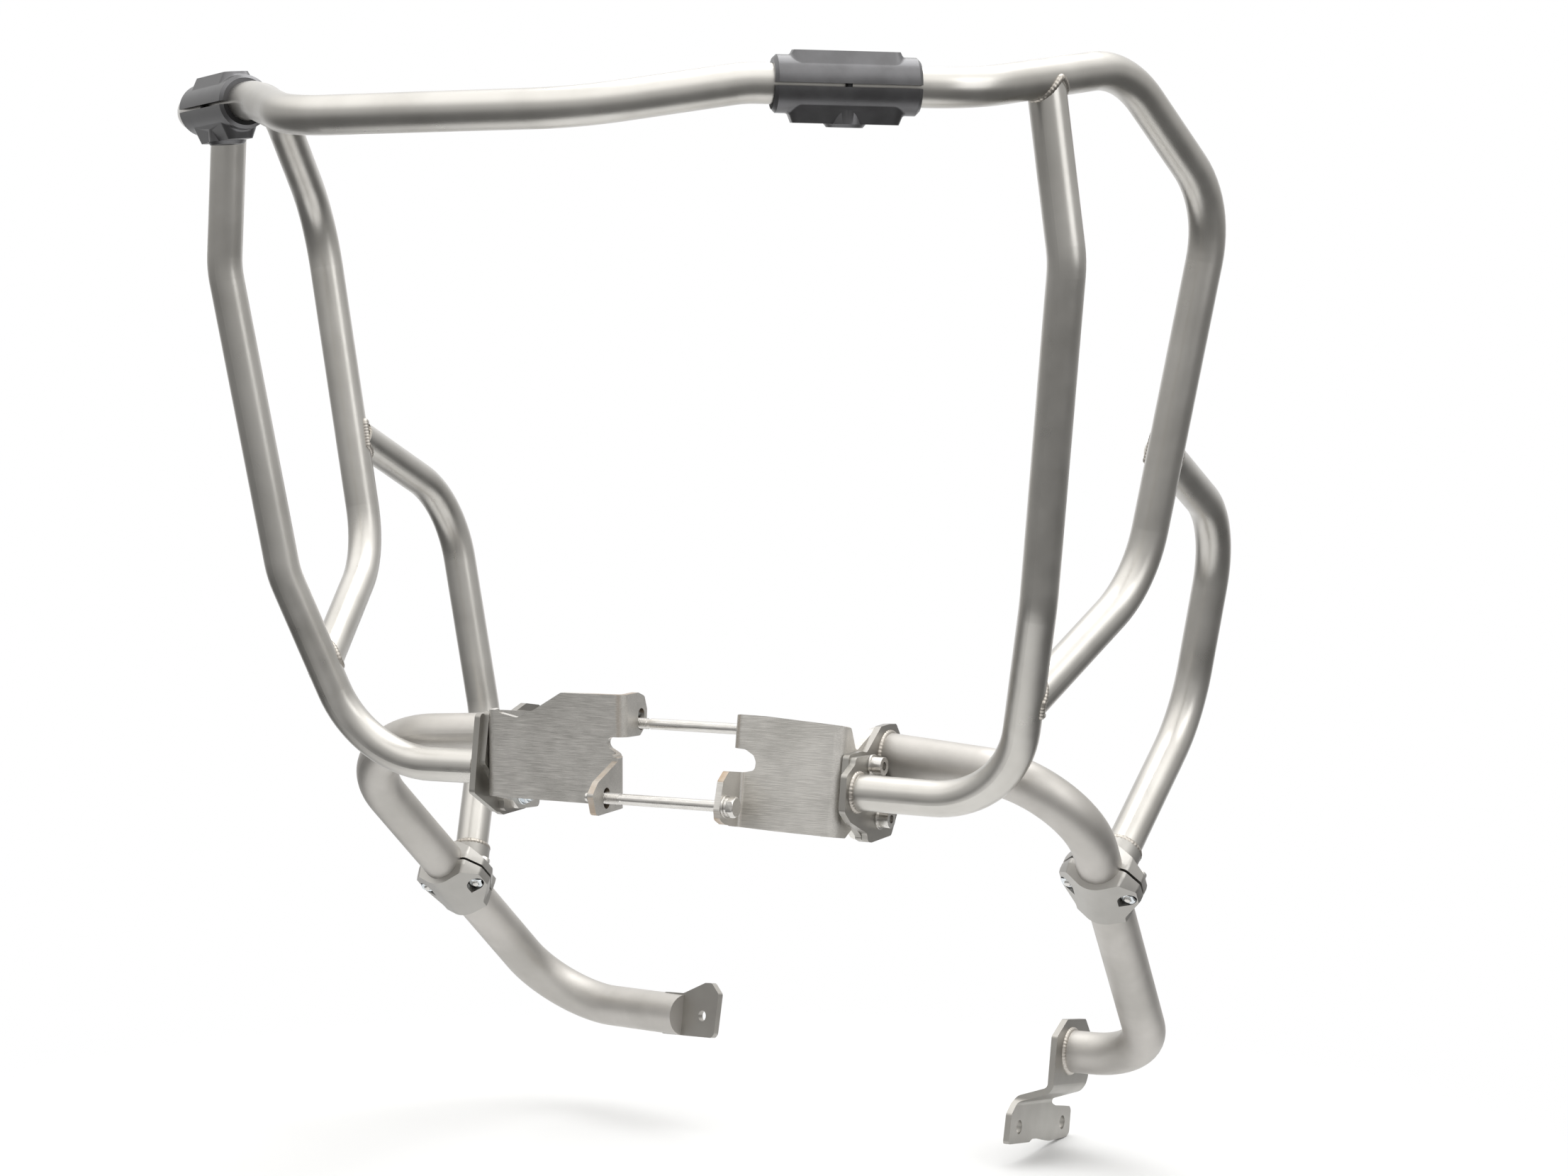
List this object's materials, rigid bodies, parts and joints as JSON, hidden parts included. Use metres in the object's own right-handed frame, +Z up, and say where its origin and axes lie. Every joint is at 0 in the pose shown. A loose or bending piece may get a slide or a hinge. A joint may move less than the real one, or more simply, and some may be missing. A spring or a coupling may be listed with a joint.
{
  "type": "motorcycle crash bars",
  "caption": "Bent stainless tube guard that bolts under the front of a motorcycle and shields its engine and fairing from a fall.",
  "frame": {"origin": "on the axis of the lower engine bolt, in the plane midway between the left and right tubes", "axes": "+X across the motorcycle to the viewer's right, -Y to its front, +Z up"},
  "size_m": [0.75, 0.7798, 0.745],
  "materials": {
    "tube": "bead-blasted stainless, satin",
    "plate": "bead-blasted laser-cut stainless plate",
    "brushed_sheet": "brushed stainless sheet with heat tint at the ears",
    "clamp": "bead-blasted machined stainless",
    "coupling": "dark grey satin powder coat",
    "liner": "matt black",
    "stainless_fastener": "bright stainless",
    "zinc_fastener": "bright zinc"
  },
  "bodies": {
    "root": {"cross_tube": "tube", "right_outer_tube": "tube", "left_outer_tube": "tube", "right_upright_tube": "tube", "left_upright_tube": "tube", "right_rear_stay": "tube", "left_rear_stay": "tube", "right_lower_tube": "tube", "left_lower_tube": "tube", "right_upright_flange": "plate", "left_upright_flange": "plate", "right_lower_flange": "plate", "left_lower_flange": "plate", "left_foot_plate": "plate", "right_foot_bracket": "plate", "right_engine_bracket": "brushed_sheet", "left_engine_bracket": "brushed_sheet", "right_clamp_cap": "clamp", "left_clamp_cap": "clamp", "right_clamp_saddle": "clamp", "left_clamp_saddle": "clamp", "right_coupling_upper_shell": "coupling", "left_coupling_upper_shell": "coupling", "right_coupling_lower_shell": "coupling", "left_coupling_lower_shell": "coupling", "right_coupling_liner": "liner", "left_coupling_liner": "liner", "coupling_screws": "stainless_fastener", "clamp_bolts": "stainless_fastener", "clamp_nuts": "zinc_fastener", "engine_bolts": "stainless_fastener", "engine_bolt_washers": "stainless_fastener", "engine_bolt_spring_washers": "stainless_fastener", "engine_bolt_nuts": "zinc_fastener", "flange_screws": "stainless_fastener", "flange_washers": "stainless_fastener", "flange_nuts": "zinc_fastener", "coupling_pins": "stainless_fastener", "right_joint_sleeve": "tube", "left_joint_sleeve": "tube"}
  },
  "joints": []
}
